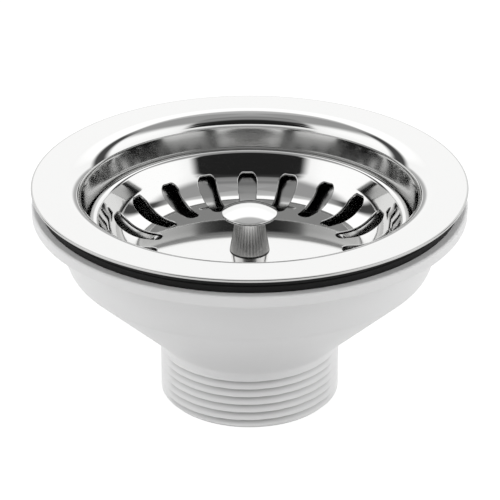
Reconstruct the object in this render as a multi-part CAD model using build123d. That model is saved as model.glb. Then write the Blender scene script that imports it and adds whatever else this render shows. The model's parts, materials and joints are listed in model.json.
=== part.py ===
from build123d import *
import math
import os

os.makedirs("parts", exist_ok=True)

# Sink waste with a lift-out strainer basket, in millimetres, +Z up.
# The base of the threaded outlet stands on Z = 0 and the axis of the waste is Z.
# Depths are measured down from the top face of the flange.

# Steel cup, pressed from sheet
neck_diameter = 88.6
neck_draft = 9.6
flange_width = 12.7
flange_edge_round = 0.3
cup_sheet = 0.8
lip_radius = 5.0
cup_corner_radius = 13.2
shoulder_gap = 1.9
shoulder_ledge = 1.5
sump_draft = 4.0
sump_edge_radius = 1.2
sump_corner_radius = 2.0
drain_count = 6
drain_width = 7.0
drain_margin = 1.6
drain_bridge = 4.0

# Seals above and below the sink
gasket_inset = 2.05
gasket_gap = 1.2
gasket_thickness = 1.92

# Moulded body, whose rim is as wide as the flange
rim_thickness = 3.35
rim_edge_round = 0.7
drum_gap = 4.8
drum_draft = 18.0
knee_radius = 5.0
cone_angle = 46.5
throat_radius = 3.0
body_wall = 2.4
cup_clearance = 3.89
outlet_diameter = 47.8
outlet_length = 16.6
outlet_chamfer = 1.0
boss_wall = 3.1
boss_gap = 3.0
boss_floor = 1.5
rib_count = 4
rib_thickness = 2.4

# Brass insert in the boss
insert_wall = 2.45
insert_length = 9.0

# Fixing screw with a socket for the basket's pin
socket_wall = 1.55
socket_spare = 2.0
screw_head_overhang = 3.05
screw_head_height = 3.2
screw_end_setback = 0.5
driver_slot_width = 2.0
driver_slot_depth = 1.6
washer_overhang = 0.5
washer_thickness = 0.8

# Strainer basket, pressed from sheet
basket_sheet = 0.7
basket_depth = 20.0
rim_top_depth = 9.4
rim_roll_radius = 1.3
rim_clearance = 0.35
basket_wall_slope = 65.0
basket_corner_radius = 10.5
slot_count = 20
slot_outer_width = 5.4
slot_inner_width = 3.4
slot_wall_margin = 0.6
slot_floor_run = 3.8
slot_outer_round = 1.5
slot_tip_roundness = 0.88
slot_bearing = 91.0

# Knob and pin
cap_diameter = 14.6
cap_top_depth = 7.2
cap_crown = 1.9
cap_edge = 0.7
cap_edge_round = 0.3
cap_neck_wall = 0.7
cap_neck_height = 0.8
stem_wall = 1.1
stem_flare = 1.6
stem_shoulder_radius = 0.9
pin_diameter = 5.0
pin_thread_in_cap = 1.5
pin_engagement = 13.0
pin_tip_chamfer = 0.6

# Plug under the basket
seal_thickness = 2.0
seal_crown_diameter = 24.0
seal_seat_margin = 1.0
seal_lip_height = 1.4
seal_fillet = 3.0
plate_margin = 2.0
plate_thickness = 1.0
nut_wall = 1.5
nut_height = 2.5
nut_clearance = 0.8

# Grip sleeve on the pin and the clip that keeps it there
sleeve_wall = 1.76
sleeve_slit_count = 4
sleeve_slit_width = 0.8
sleeve_slit_length = 7.0
clip_clearance = 0.6
clip_thickness = 0.6
clip_grip = 0.2
clip_groove_depth = 0.6
clip_to_tip = 1.0

# Fits
seal_gap = 0.3
hole_clearance = 0.1
sleeve_fit = 0.08
pin_fit = 0.06
sleeve_end_play = 0.1
thread_clearance = 0.05

# Radii from the pin outwards, each from the one it fits round
pin_radius = pin_diameter / 2
pin_hole_radius = pin_radius + hole_clearance
stem_top_radius = pin_hole_radius + stem_wall
stem_base_radius = stem_top_radius + stem_flare
sleeve_bore_radius = pin_radius + pin_fit
sleeve_radius = sleeve_bore_radius + sleeve_wall
socket_radius = sleeve_radius + sleeve_fit
clip_radius = socket_radius - clip_clearance
screw_radius = socket_radius + socket_wall
screw_hole_radius = screw_radius + hole_clearance
screw_head_radius = screw_radius + screw_head_overhang
washer_radius = screw_head_radius + washer_overhang
insert_radius = screw_radius + insert_wall
boss_radius = insert_radius + boss_wall

# Depths of the stack between the basket's floor and the screw
seal_top = basket_depth + basket_sheet
plate_top = seal_top + seal_thickness
nut_top = plate_top + plate_thickness
nut_bottom = nut_top + nut_height
screw_top = nut_bottom + nut_clearance
screw_seat = screw_top + screw_head_height
shoulder_depth = seal_top + shoulder_gap
cup_depth = screw_seat + washer_thickness
cup_underside = cup_depth + cup_sheet
boss_top = cup_underside + boss_gap
insert_bottom = boss_top + insert_length
boss_bottom = insert_bottom + boss_floor
pin_tip = screw_top + pin_engagement
clip_bottom = pin_tip - clip_to_tip
clip_top = clip_bottom - clip_thickness

# Cup wall, flange and the parts beside them
neck_slope = math.tan(math.radians(neck_draft))
fillet_reach = math.tan(math.radians((90 - neck_draft) / 2))
cup_corner_setback = cup_corner_radius * fillet_reach
flange_radius = neck_diameter / 2 + flange_width
gasket_radius = flange_radius - gasket_inset
gasket_bore_radius = neck_diameter / 2 + lip_radius * fillet_reach + gasket_gap
drum_radius = neck_diameter / 2 + cup_sheet + drum_gap + body_wall


def cup_wall_radius(depth):
    """Inner radius of the cup's straight wall at a depth."""
    return neck_diameter / 2 - depth * neck_slope


# Sump in the middle of the cup, below the shoulder that follows the basket
sump_slope = math.tan(math.radians(sump_draft))
sump_reach = math.tan(math.radians((90 - sump_draft) / 2))
sump_radius = cup_wall_radius(shoulder_depth) - cup_corner_setback - shoulder_ledge
sump_foot_radius = sump_radius - (cup_depth - shoulder_depth) * sump_slope
cup_floor_radius = sump_foot_radius - sump_corner_radius * sump_reach

# Body levels, found from the cup that the body has to clear
rim_top = cup_sheet + 2 * gasket_thickness
rim_bottom = rim_top + rim_thickness
drum_slope = math.tan(math.radians(drum_draft))
cone_slope = math.tan(math.radians(cone_angle))
cone_sum = (
    sump_foot_radius
    + cup_sheet
    + cup_underside * cone_slope
    + (cup_clearance + body_wall) * math.hypot(1, cone_slope)
)
drum_sum = drum_radius + rim_bottom * drum_slope
knee_depth = (cone_sum - drum_sum) / (cone_slope - drum_slope)
knee_corner_radius = cone_sum - knee_depth * cone_slope
throat_depth = (cone_sum - outlet_diameter / 2) / cone_slope
overall_height = throat_depth + outlet_length

# Basket section: the rolled rim runs straight into the sloping wall
wall_slope = math.radians(basket_wall_slope)
rim_centre_depth = rim_top_depth + rim_roll_radius
rim_centre_radius = cup_wall_radius(rim_centre_depth) - rim_clearance - rim_roll_radius
wall_top_radius = rim_centre_radius - rim_roll_radius * math.sin(wall_slope)
wall_top_depth = rim_centre_depth - rim_roll_radius * math.cos(wall_slope)
basket_corner = wall_top_radius - (basket_depth - wall_top_depth) / math.tan(wall_slope)
basket_setback = basket_corner_radius * math.tan(wall_slope / 2)
slot_outer_radius = basket_corner + basket_setback * math.cos(wall_slope) - slot_wall_margin
slot_inner_radius = basket_corner - basket_setback - slot_floor_run

# Knob depths
cap_rim_depth = cap_top_depth + cap_crown
cap_bottom = cap_rim_depth + cap_edge
stem_top = cap_bottom + cap_neck_height
pin_top = cap_bottom - pin_thread_in_cap


def level(depth):
    """Height above the base of a point at a depth below the flange's top face."""
    return overall_height - depth


def at(radius, depth):
    """A point of a section, from its radius and its depth."""
    return (radius, level(depth))


def turned(face):
    """Solid of revolution about the waste's axis from a section drawn as radius and height."""
    return revolve(Plane.XZ * face, Axis.Z)


def pressed(points, radii, thickness, side):
    """Turned sheet of even thickness whose one face follows a rounded line of points."""
    line = FilletPolyline(*points, radius=radii)
    return turned(make_face(offset(line, thickness, side=side)))


def ring(outer_radius, inner_radius, top, bottom):
    """Plain ring between two depths."""
    height = bottom - top
    blank = Circle(outer_radius)
    if inner_radius > 0:
        blank -= Circle(inner_radius)
    return Pos(0, 0, level(bottom)) * extrude(blank, height)


def around(count, shape, first_angle=0):
    """Copies of a shape, evenly spaced about the axis."""
    return [Rot(0, 0, first_angle + 360 * i / count) * shape for i in range(count)]


def drain_opening():
    """Cutter for one kidney-shaped opening in the cup's floor, centred on +X."""
    inner = washer_radius + drain_margin
    middle = inner + drain_width / 2
    half_angle = 180 / drain_count - math.degrees((drain_bridge + drain_width) / 2 / middle)
    path = CenterArc((0, 0), middle, -half_angle, 2 * half_angle)
    kidney = SlotArc(path, drain_width)
    return Pos(0, 0, level(cup_underside + cup_sheet)) * extrude(kidney, 3 * cup_sheet)


def steel_cup():
    """Flange, rounded lip, tapered wall, shoulder under the basket and a sump with drain openings."""
    section = [
        at(flange_radius, 0),
        at(neck_diameter / 2, 0),
        at(cup_wall_radius(shoulder_depth), shoulder_depth),
        at(sump_radius, shoulder_depth),
        at(sump_foot_radius, cup_depth),
        at(screw_hole_radius, cup_depth),
    ]
    radii = [lip_radius, cup_corner_radius, sump_edge_radius, sump_corner_radius]
    cup = pressed(section, radii, cup_sheet, Side.LEFT)
    rim_edges = cup.edges().filter_by(GeomType.CIRCLE).group_by(SortBy.RADIUS)[-1]
    cup = fillet(rim_edges, flange_edge_round)
    return cup - around(drain_count, drain_opening())


def gasket(top):
    """Rubber ring clamped between the flange, the sink and the body's rim."""
    return ring(gasket_radius, gasket_bore_radius, top, top + gasket_thickness)


def body_shell():
    """Drum, knee, cone and outlet tube as one wall of even thickness."""
    outline = [
        at(drum_radius, rim_top),
        at(drum_radius, rim_bottom),
        at(knee_corner_radius, knee_depth),
        at(outlet_diameter / 2, throat_depth),
        (outlet_diameter / 2, 0),
    ]
    shell = pressed(outline, [0, knee_radius, throat_radius], body_wall, Side.RIGHT)
    foot = shell.edges().filter_by(GeomType.CIRCLE).group_by(Axis.Z)[0].sort_by(SortBy.RADIUS)[-1]
    return chamfer(foot, outlet_chamfer)


def body_rim():
    """Projecting rim that carries the lower gasket."""
    blank = ring(flange_radius, drum_radius - body_wall, rim_top, rim_bottom)
    outer = blank.edges().filter_by(GeomType.CIRCLE).group_by(SortBy.RADIUS)[-1]
    return fillet(outer, rim_edge_round)


def body_spider():
    """Boss in the middle of the outlet, on webs that end inside the body's wall."""
    half_wall = body_wall / 2
    cone_middle = cone_sum - half_wall * math.hypot(1, cone_slope)
    tube_middle = outlet_diameter / 2 - half_wall
    corners = [
        at(0, boss_top),
        at(cone_middle - boss_top * cone_slope, boss_top),
        at(tube_middle, (cone_middle - tube_middle) / cone_slope),
        (tube_middle, 0),
        (0, 0),
    ]
    room = turned(make_face(Polyline(*corners, close=True)))
    reach = flange_radius
    height = boss_bottom - boss_top
    web = Pos(reach / 2, 0, level(boss_bottom) + height / 2) * Box(reach, rib_thickness, height)
    boss = ring(boss_radius, 0, boss_top, boss_bottom)
    return boss + [rib & room for rib in around(rib_count, web, 180 / rib_count)]


def waste_body():
    """Moulded body with its rim, its outlet and the boss held on ribs."""
    body = body_shell() + body_rim() + body_spider()
    body -= ring(insert_radius + thread_clearance, 0, boss_top, insert_bottom)
    return body - ring(screw_hole_radius, 0, boss_top, boss_bottom)


def thread_insert():
    """Brass bush that the fixing screw is driven into."""
    return ring(insert_radius, screw_radius + thread_clearance, boss_top, insert_bottom)


def fixing_screw():
    """Hollow-headed screw: it clamps cup to body and holds the basket's pin."""
    screw = ring(screw_head_radius, 0, screw_top, screw_seat)
    screw += ring(screw_radius, 0, screw_seat, boss_bottom - screw_end_setback)
    screw -= ring(socket_radius, 0, screw_top, pin_tip + socket_spare)
    slot = Box(2 * screw_head_radius, driver_slot_width, driver_slot_depth)
    return screw - Pos(0, 0, level(screw_top + driver_slot_depth / 2)) * slot


def screw_washer():
    """Sealing washer under the screw's head."""
    return ring(washer_radius, screw_hole_radius, screw_seat, cup_depth)


def basket_slot():
    """Cutter for one strainer slot, tapering inwards along +X."""
    half_outer = slot_outer_width / 2
    half_inner = slot_inner_width / 2
    corners = [
        (slot_inner_radius, -half_inner),
        (slot_outer_radius, -half_outer),
        (slot_outer_radius, half_outer),
        (slot_inner_radius, half_inner),
    ]
    outline = make_face(Polyline(*corners, close=True))
    outline = fillet(outline.vertices().group_by(Axis.X)[-1], slot_outer_round)
    outline = fillet(outline.vertices().group_by(Axis.X)[0], half_inner * slot_tip_roundness)
    depth = basket_depth + basket_sheet - rim_centre_depth
    return Pos(0, 0, level(basket_depth + 2 * basket_sheet)) * extrude(outline, depth)


def basket():
    """Pressed strainer with a rolled rim, a rounded wall and a ring of slots."""
    rim_centre = at(rim_centre_radius, rim_centre_depth)
    rim_turn = 180 + basket_wall_slope
    outside = CenterArc(rim_centre, rim_roll_radius, -90, rim_turn)
    inside = CenterArc(rim_centre, rim_roll_radius - basket_sheet, -90, rim_turn)
    roll = [outside, inside, Line(outside @ 0, inside @ 0), Line(outside @ 1, inside @ 1)]
    wall = FilletPolyline(
        at(wall_top_radius, wall_top_depth),
        at(basket_corner, basket_depth),
        at(pin_hole_radius, basket_depth),
        radius=basket_corner_radius,
    )
    section = make_face(roll) + make_face(offset(wall, basket_sheet, side=Side.LEFT))
    return turned(section) - around(slot_count, basket_slot(), slot_bearing)


def knob_cap():
    """Domed button with a rounded edge, screwed on the pin from above."""
    edge_radius = cap_diameter / 2
    dome = TangentArc(at(0, cap_top_depth), at(edge_radius, cap_rim_depth), tangent=(1, 0))
    under = Polyline(
        at(edge_radius, cap_rim_depth),
        at(edge_radius, cap_bottom),
        at(0, cap_bottom),
        at(0, cap_top_depth),
    )
    section = make_face(dome + under)
    button = turned(fillet(section.vertices().group_by(Axis.X)[-1], cap_edge_round))
    button += ring(pin_radius + cap_neck_wall, 0, cap_bottom, stem_top)
    return button - ring(pin_radius + thread_clearance, 0, pin_top, stem_top)


def knob_stem():
    """Flared stem that stands on the basket's floor under the cap."""
    section = FilletPolyline(
        at(pin_hole_radius, basket_depth),
        at(pin_hole_radius, stem_top),
        at(stem_top_radius, stem_top),
        at(stem_base_radius, basket_depth),
        radius=[0, stem_shoulder_radius],
    )
    foot = Line(at(stem_base_radius, basket_depth), at(pin_hole_radius, basket_depth))
    return turned(make_face(section + foot))


def stem_pin():
    """Pin from the cap down into the screw's socket, grooved for its clip."""
    pin = ring(pin_radius, 0, pin_top, pin_tip)
    tip = pin.edges().filter_by(GeomType.CIRCLE).group_by(Axis.Z)[0]
    pin = chamfer(tip, pin_tip_chamfer)
    return pin - ring(pin_radius, pin_radius - clip_groove_depth, clip_top, clip_bottom)


def plug_seal():
    """Rubber bell clamped under the basket, whose lip closes on the cup's floor."""
    seat_radius = cup_floor_radius - seal_seat_margin
    seat = cup_depth - seal_gap
    outline = [
        at(pin_hole_radius, seal_top),
        at(seal_crown_diameter / 2, seal_top),
        at(seat_radius, seat - seal_lip_height),
        at(seat_radius, seat),
    ]
    return pressed(outline, [seal_fillet, 0], seal_thickness, Side.RIGHT)


def seal_plate():
    """Steel washer that spreads the nut's pull over the seal."""
    plate_radius = seal_crown_diameter / 2 - plate_margin
    return ring(plate_radius, pin_hole_radius, plate_top, nut_top)


def lock_nut():
    """Thin hexagon nut that clamps the seal, the basket and the knob together."""
    hexagon = RegularPolygon(pin_radius + nut_wall, 6, major_radius=False)
    hexagon -= Circle(pin_radius + thread_clearance)
    return Pos(0, 0, level(nut_bottom)) * extrude(hexagon, nut_height)


def grip_sleeve():
    """Split sleeve that grips in the screw's socket, with the pin free to turn in it."""
    top = nut_bottom + sleeve_end_play
    bottom = clip_top - sleeve_end_play
    sleeve = ring(sleeve_radius, sleeve_bore_radius, top, bottom)
    slit = Box(sleeve_radius, sleeve_slit_width, 2 * sleeve_slit_length)
    slit = Pos(sleeve_radius / 2, 0, level(bottom)) * slit
    return sleeve - around(sleeve_slit_count, slit)


def retaining_clip():
    """Spring clip snapped into the pin's groove from the side."""
    groove_radius = pin_radius - clip_groove_depth
    clip = ring(clip_radius, groove_radius + thread_clearance, clip_top, clip_bottom)
    mouth = Box(clip_radius, 2 * groove_radius - clip_grip, 2 * clip_thickness)
    middle = (clip_top + clip_bottom) / 2
    return clip - Pos(clip_radius / 2, 0, level(middle)) * mouth


parts = {
    "steel_cup": steel_cup(),
    "upper_gasket": gasket(cup_sheet),
    "lower_gasket": gasket(cup_sheet + gasket_thickness),
    "waste_body": waste_body(),
    "thread_insert": thread_insert(),
    "fixing_screw": fixing_screw(),
    "screw_washer": screw_washer(),
    "basket": basket(),
    "knob_cap": knob_cap(),
    "knob_stem": knob_stem(),
    "stem_pin": stem_pin(),
    "plug_seal": plug_seal(),
    "seal_plate": seal_plate(),
    "lock_nut": lock_nut(),
    "grip_sleeve": grip_sleeve(),
    "retaining_clip": retaining_clip(),
}

for name, solid in parts.items():
    export_step(solid, f"parts/{name}.step")
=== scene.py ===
import json
from math import asin, atan2, ceil, copysign, cos, hypot, pi, radians, sin, sqrt, tan, tau

import bmesh
import bpy
from mathutils import Matrix, Vector


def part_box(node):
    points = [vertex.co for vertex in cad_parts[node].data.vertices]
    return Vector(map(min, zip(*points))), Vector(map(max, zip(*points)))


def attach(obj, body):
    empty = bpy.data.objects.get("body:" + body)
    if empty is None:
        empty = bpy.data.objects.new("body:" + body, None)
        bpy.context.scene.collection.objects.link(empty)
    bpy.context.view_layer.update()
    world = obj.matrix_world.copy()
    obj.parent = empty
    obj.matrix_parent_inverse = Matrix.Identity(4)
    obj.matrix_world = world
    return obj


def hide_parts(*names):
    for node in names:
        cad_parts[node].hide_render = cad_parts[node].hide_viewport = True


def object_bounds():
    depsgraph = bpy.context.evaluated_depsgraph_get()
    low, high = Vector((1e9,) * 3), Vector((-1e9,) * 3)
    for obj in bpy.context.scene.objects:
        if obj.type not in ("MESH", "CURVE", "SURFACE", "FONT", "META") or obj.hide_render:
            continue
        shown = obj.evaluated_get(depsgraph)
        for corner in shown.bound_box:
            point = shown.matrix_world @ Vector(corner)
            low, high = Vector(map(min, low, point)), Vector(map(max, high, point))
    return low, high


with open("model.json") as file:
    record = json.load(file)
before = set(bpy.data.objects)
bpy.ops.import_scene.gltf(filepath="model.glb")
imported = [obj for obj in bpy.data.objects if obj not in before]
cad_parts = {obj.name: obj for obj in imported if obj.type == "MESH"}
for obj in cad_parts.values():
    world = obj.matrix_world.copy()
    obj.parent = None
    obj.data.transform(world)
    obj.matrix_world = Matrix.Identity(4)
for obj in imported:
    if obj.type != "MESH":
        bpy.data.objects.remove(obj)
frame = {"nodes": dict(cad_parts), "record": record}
cad_low, cad_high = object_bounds()

# Looks of a sink waste with a lift-out strainer basket.
# Sections are drawn in millimetres, as radius and depth below the flange's top face.
# Finished meshes are in metres, in the frame's own axes.

MM = 0.001
WASTE_TOP = cad_high.z / MM


def extent(node):
    """Outer radius, top depth and bottom depth of a CAD node, in millimetres."""
    low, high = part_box(node)
    return high.y / MM, WASTE_TOP - high.z / MM, WASTE_TOP - low.z / MM


# Steel cup
flange_radius, _, cup_underside = extent("steel_cup")
cup_sheet = 0.8
flange_edge_round = 0.3
# Width of the flange's darker edge band, and the depths over which painted shade and a rougher finish come
# in down the wall
flange_dark_edge = 0.45
painted_shade_and_dull_start_depth, painted_shade_and_dull_full_depth = 2.5, 6.0
neck_radius = 44.3
neck_draft = radians(9.6)
lip_radius = 5.0
cup_corner_radius = 13.2
cup_depth = cup_underside - cup_sheet
shoulder_gap = 1.9
sump_radius = 27.82
sump_draft = radians(4)
sump_edge_radius = 1.2
sump_corner_radius = 2.0
screw_hole_radius = 6.05
drain_count = 6
drain_inner_radius = 11.1
drain_outer_radius = 18.1
drain_bridge = 4.0
drain_end_round = 0.49 * (drain_outer_radius - drain_inner_radius)
drain_edge_round = 0.2
drain_border = 1.4

# Basket
basket_radius, rim_top_depth, basket_underside = extent("basket")
basket_sheet = 0.7
basket_depth = basket_underside - basket_sheet
rim_roll_radius = 1.3
basket_wall_slope = radians(65)
basket_corner_radius = 10.5
pin_hole_radius = 2.6
slot_count = 20
slot_outer_width = 5.4
slot_inner_width = 3.4
slot_wall_margin = 0.6
slot_floor_run = 3.8
slot_round = 1.5
slot_edge_round = 0.28
slot_border = 0.9
slot_bearing = radians(91)

# Knob
cap_radius, cap_top, stem_top = extent("knob_cap")
cap_crown = 1.9
cap_edge = 0.7
cap_edge_round = 0.3
cap_neck_radius = 3.2
stem_base_radius = extent("knob_stem")[0]
stem_top_radius = 3.7
stem_shoulder_radius = 0.9
# Height of the painted contact shade at the stem's foot
stem_foot_shade_height = 0.3

# Gaskets
gasket_bore_radius = 49.73

# Moulded body
rim_radius, rim_top, body_bottom = extent("waste_body")
rim_thickness = 3.35
rim_bottom = rim_top + rim_thickness
rim_edge_round = 0.7
moulded_edge = 0.4
drum_radius = 52.3
body_wall = 2.4
knee_corner_radius, knee_depth = 47.86, 21.67
knee_radius = 5.0
throat_depth = 44.4
throat_radius = 3.0
outlet_radius = 23.9
outlet_chamfer = 1.0
boss_radius = 11.5
boss_top, boss_bottom = 34.8, 45.3
insert_radius, _, insert_bottom = extent("thread_insert")
rib_count = 4
rib_thickness = 2.4

# Outlet thread, which is left plain at its left and right sides
thread_pitch = 2.309
thread_depth = 1.48
thread_top, thread_bottom = 46.0, 60.4
thread_groove = 46.95
thread_run_out = 0.7
thread_step = 0.1
thread_side = 0.96
thread_side_fade = 12.0
thread_crest_flat = 0.12
# Painted shade in the thread's grooves: how far up it reaches, as a share of the depth, and a margin below
# the root
painted_groove_shade_reach = 0.8
painted_groove_shade_margin = 0.1

# Fixing screw
screw_head_radius, screw_top, screw_end = extent("fixing_screw")
screw_head_height = 3.2
screw_head_round = 0.3
screw_seat = screw_top + screw_head_height
screw_radius = 5.95
screw_tip_chamfer = 0.5
screw_pitch = 1.75
screw_thread_top = screw_seat + 1.0
screw_thread_depth = 0.7
screw_thread_step = 0.5
screw_thread_side = 2.0
screw_run_out = 0.6
socket_radius, socket_bottom = 4.4, 42.0
driver_slot_width = 2.0
driver_slot_depth = 1.6

# Plug, pin and sleeve
plug_radius, plug_top, plug_bottom = extent("plug_seal")
plug_thickness = 2.0
plug_crown_radius = 12.0
plug_crown_round = 3.0
plug_lip_height = 1.4
pin_radius = 2.5
pin_tip_chamfer = 0.6
clip_groove_depth = 0.6
sleeve_bore_radius = 2.56
sleeve_slit_count = 4
sleeve_slit_width = 0.8
sleeve_slit_length = 7.0
nut_bore_radius = 2.55
nut_sides = 6
nut_chamfer = radians(30)
small_edge = 0.15

# How finely the meshes are divided
RING = 240
BASKET_RING = 320
SCREW_RING = 120
SMALL_RING = 96
DOME_RINGS = 20
DRAIN_ROWS = 10
SLOT_ROWS = 28
WALL_ROWS = 4
ROWS_PER_TURN = 26
ARC_STEP = radians(3)
SHARP_ANGLE = radians(35)

# Small distances for building the meshes, in millimetres
HOLD = 0.2
LONG_RUN = 1.0
MERGE = 0.0001
WELD = 0.002
ON_AXIS = 0.000001
ON_WALL = 0.02
OVERCUT = 1.0


def at(radius, depth):
    """Point of a section, from its radius and its depth, as radius and height."""
    return Vector((radius, WASTE_TOP - depth))


def heading(start, end):
    """Unit vector of a section's line."""
    return (end - start).normalized()


def right_of(direction):
    """Unit vector to the right of a heading."""
    return Vector((direction.y, -direction.x))


def turn_between(first, second):
    """Signed angle from one heading to the next; left turns count positive."""
    return atan2(first.x * second.y - first.y * second.x, first.dot(second))


def arc(centre, radius, first_angle, last_angle):
    """Points of an arc between two angles, which count from outwards to up."""
    steps = max(2, ceil(abs(last_angle - first_angle) / ARC_STEP))
    angles = [first_angle + (last_angle - first_angle) * i / steps for i in range(steps + 1)]
    return [centre + radius * Vector((cos(a), sin(a))) for a in angles]


def corner_arc(before, corner, after, radius):
    """Rounded corner of a section, or the corner itself where it stays sharp."""
    first, second = heading(before, corner), heading(corner, after)
    turn = turn_between(first, second)
    if radius == 0:
        return [corner.copy()]
    start = corner - first * radius * tan(abs(turn) / 2)
    centre = start - copysign(radius, turn) * right_of(first)
    spoke = start - centre
    angle = atan2(spoke.y, spoke.x)
    return arc(centre, radius, angle, angle + turn)


def bar(start, end, half_start, half_end):
    """Four corners of a bar in plan, from one distance to another, with its half width at each end."""
    return [Vector((end, -half_end)), Vector((end, half_end)),
            Vector((start, half_start)), Vector((start, -half_start))]


def with_holds(points):
    """Adds a point close to each end of a straight run, so that shading stays flat along it."""
    held = []
    for start, end in zip(points, points[1:]):
        held.append(start)
        if (end - start).length > LONG_RUN:
            held.append(start + HOLD * heading(start, end))
            held.append(end - HOLD * heading(start, end))
    return held + [points[-1]]


def rounded(corners, radii):
    """Closed outline through corners, each rounded by its own radius."""
    outline = []
    for i, radius in enumerate(radii):
        following = corners[(i + 1) % len(corners)]
        outline += corner_arc(corners[i - 1], corners[i], following, radius)
    return with_holds(outline)


def beside(corners, distance):
    """Corners of the line that runs to the right of an open line, at a distance."""
    headings = [heading(start, end) for start, end in zip(corners, corners[1:])]
    pairs = zip(corners, headings[:1] + headings, headings + headings[-1:])
    return [corner + (right_of(a) + right_of(b)) * distance / (1 + a.dot(b)) for corner, a, b in pairs]


def sheet(corners, radii, thickness, end_round):
    """Closed outline of a sheet to the right of an open line, its far end rounded."""
    other_radii = []
    for before, corner, after, radius in zip(corners, corners[1:], corners[2:], radii):
        turn = turn_between(heading(before, corner), heading(corner, after))
        other_radii.append(max(0, radius + copysign(thickness, turn)))
    all_radii = [0, *radii, end_round, end_round, *other_radii[::-1], 0]
    return rounded(corners + beside(corners, thickness)[::-1], all_radii)


def plain_ring(inner, outer, ring_top, ring_bottom, edge_round):
    """Closed outline of a ring with rounded edges."""
    corners = [at(inner, ring_top), at(inner, ring_bottom), at(outer, ring_bottom), at(outer, ring_top)]
    return rounded(corners, [edge_round] * 4)


def rows_between(radius, first_depth, last_depth, spacing):
    """Closely spaced points down a straight wall, for a thread to move."""
    count = ceil((last_depth - first_depth) / spacing)
    return [at(radius, first_depth + (last_depth - first_depth) * i / count) for i in range(count + 1)]


def place(point, angle):
    """Where a section's point lies when its section is turned about the axis."""
    return Vector((point.x * cos(angle), point.x * sin(angle), point.y)) * MM


def join_rows(bm, first, second, closed):
    """Faces between two rows of vertices; a row of one vertex is a pole on the axis."""
    count = max(len(first), len(second))
    for i in range(count if closed else count - 1):
        corners = [first[i % len(first)], first[(i + 1) % len(first)]]
        corners += [second[(i + 1) % len(second)], second[i % len(second)]]
        corners = list(dict.fromkeys(corners))
        if len(corners) > 2:
            bm.faces.new(corners)


def shade(mesh):
    """Smooth shading, but for sharp edges."""
    mesh.shade_smooth()
    mesh.set_sharp_from_angle(angle=SHARP_ANGLE)


def new_piece(bm, name):
    """Object from a mesh, with doubles merged and faces outwards."""
    bmesh.ops.remove_doubles(bm, verts=bm.verts, dist=MERGE * MM)
    bmesh.ops.recalc_face_normals(bm, faces=bm.faces)
    mesh = bpy.data.meshes.new(name)
    bm.to_mesh(mesh)
    bm.free()
    shade(mesh)
    piece = bpy.data.objects.new(name, mesh)
    bpy.context.scene.collection.objects.link(piece)
    return piece


def turned(name, outline, segments=RING):
    """Solid of revolution from a closed outline."""
    bm = bmesh.new()
    rings = []
    for point in outline:
        copies = segments if point.x > ON_AXIS else 1
        rings.append([bm.verts.new(place(point, tau * i / copies)) for i in range(copies)])
    for first, second in zip(rings, rings[1:] + rings[:1]):
        join_rows(bm, first, second, closed=True)
    return new_piece(bm, name)


def solid_between(name, first_row, second_row):
    """Straight solid between two flat rows of points, which are in millimetres."""
    bm = bmesh.new()
    rows = [[bm.verts.new(point * MM) for point in row] for row in (first_row, second_row)]
    join_rows(bm, rows[0], rows[1], closed=True)
    for row in rows:
        bm.faces.new(row)
    return new_piece(bm, name)


def prism(name, corners, low, high):
    """Upright solid between two heights over a flat outline; corners and heights in millimetres."""
    return solid_between(name, *[[Vector((x, y, z)) for x, y in corners] for z in (low, high)])


# Node trees

def add(tree, kind, inputs=None, **settings):
    """Adds a node, sets its options, and gives its inputs values or links from other sockets."""
    node = tree.nodes.new(kind)
    for key, value in settings.items():
        setattr(node, key, value)
    for key, value in (inputs or {}).items():
        if isinstance(value, bpy.types.NodeSocket):
            tree.links.new(value, node.inputs[key])
        else:
            node.inputs[key].default_value = value
    return node


def first_of(tree, kind, inputs=None, **settings):
    """First output of a node that is added."""
    return add(tree, kind, inputs, **settings).outputs[0]


def calc(operation, *values):
    """Output of a Math node, in the tree of the sockets among its values."""
    tree = next(value.id_data for value in values if isinstance(value, bpy.types.NodeSocket))
    return first_of(tree, "ShaderNodeMath", dict(enumerate(values)), operation=operation)


def parts_of(vector):
    """Three parts of a vector."""
    return add(vector.id_data, "ShaderNodeSeparateXYZ", {0: vector}).outputs


def radius_of(x, y):
    """Length of a flat vector, such as the distance from the axis."""
    return calc("SQRT", calc("ADD", calc("MULTIPLY", x, x), calc("MULTIPLY", y, y)))


def ramp(value, start, end, **settings):
    """0 at a start and beyond it, 1 at an end, and a rise between them."""
    inputs = {"Value": value, "From Min": start, "From Max": end}
    return first_of(value.id_data, "ShaderNodeMapRange", inputs, **settings)


def new_geometry_tree(name, inputs):
    """Geometry Nodes tree that takes a mesh, named sizes and a material."""
    tree = bpy.data.node_groups.new(name, "GeometryNodeTree")
    tree.interface.new_socket("Geometry", in_out="INPUT", socket_type="NodeSocketGeometry")
    for socket_name, kind in inputs.items():
        tree.interface.new_socket(socket_name, in_out="INPUT", socket_type=kind)
    tree.interface.new_socket("Finish", in_out="INPUT", socket_type="NodeSocketMaterial")
    tree.interface.new_socket("Geometry", in_out="OUTPUT", socket_type="NodeSocketGeometry")
    return tree, tree.nodes.new("NodeGroupInput").outputs


def close_geometry_tree(tree, geometry, finish):
    """Realizes what a tree has made, gives it its material and hands it on."""
    realized = first_of(tree, "GeometryNodeRealizeInstances", {"Geometry": geometry})
    finished = first_of(tree, "GeometryNodeSetMaterial", {"Geometry": realized, "Material": finish})
    add(tree, "NodeGroupOutput", {"Geometry": finished})


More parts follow.
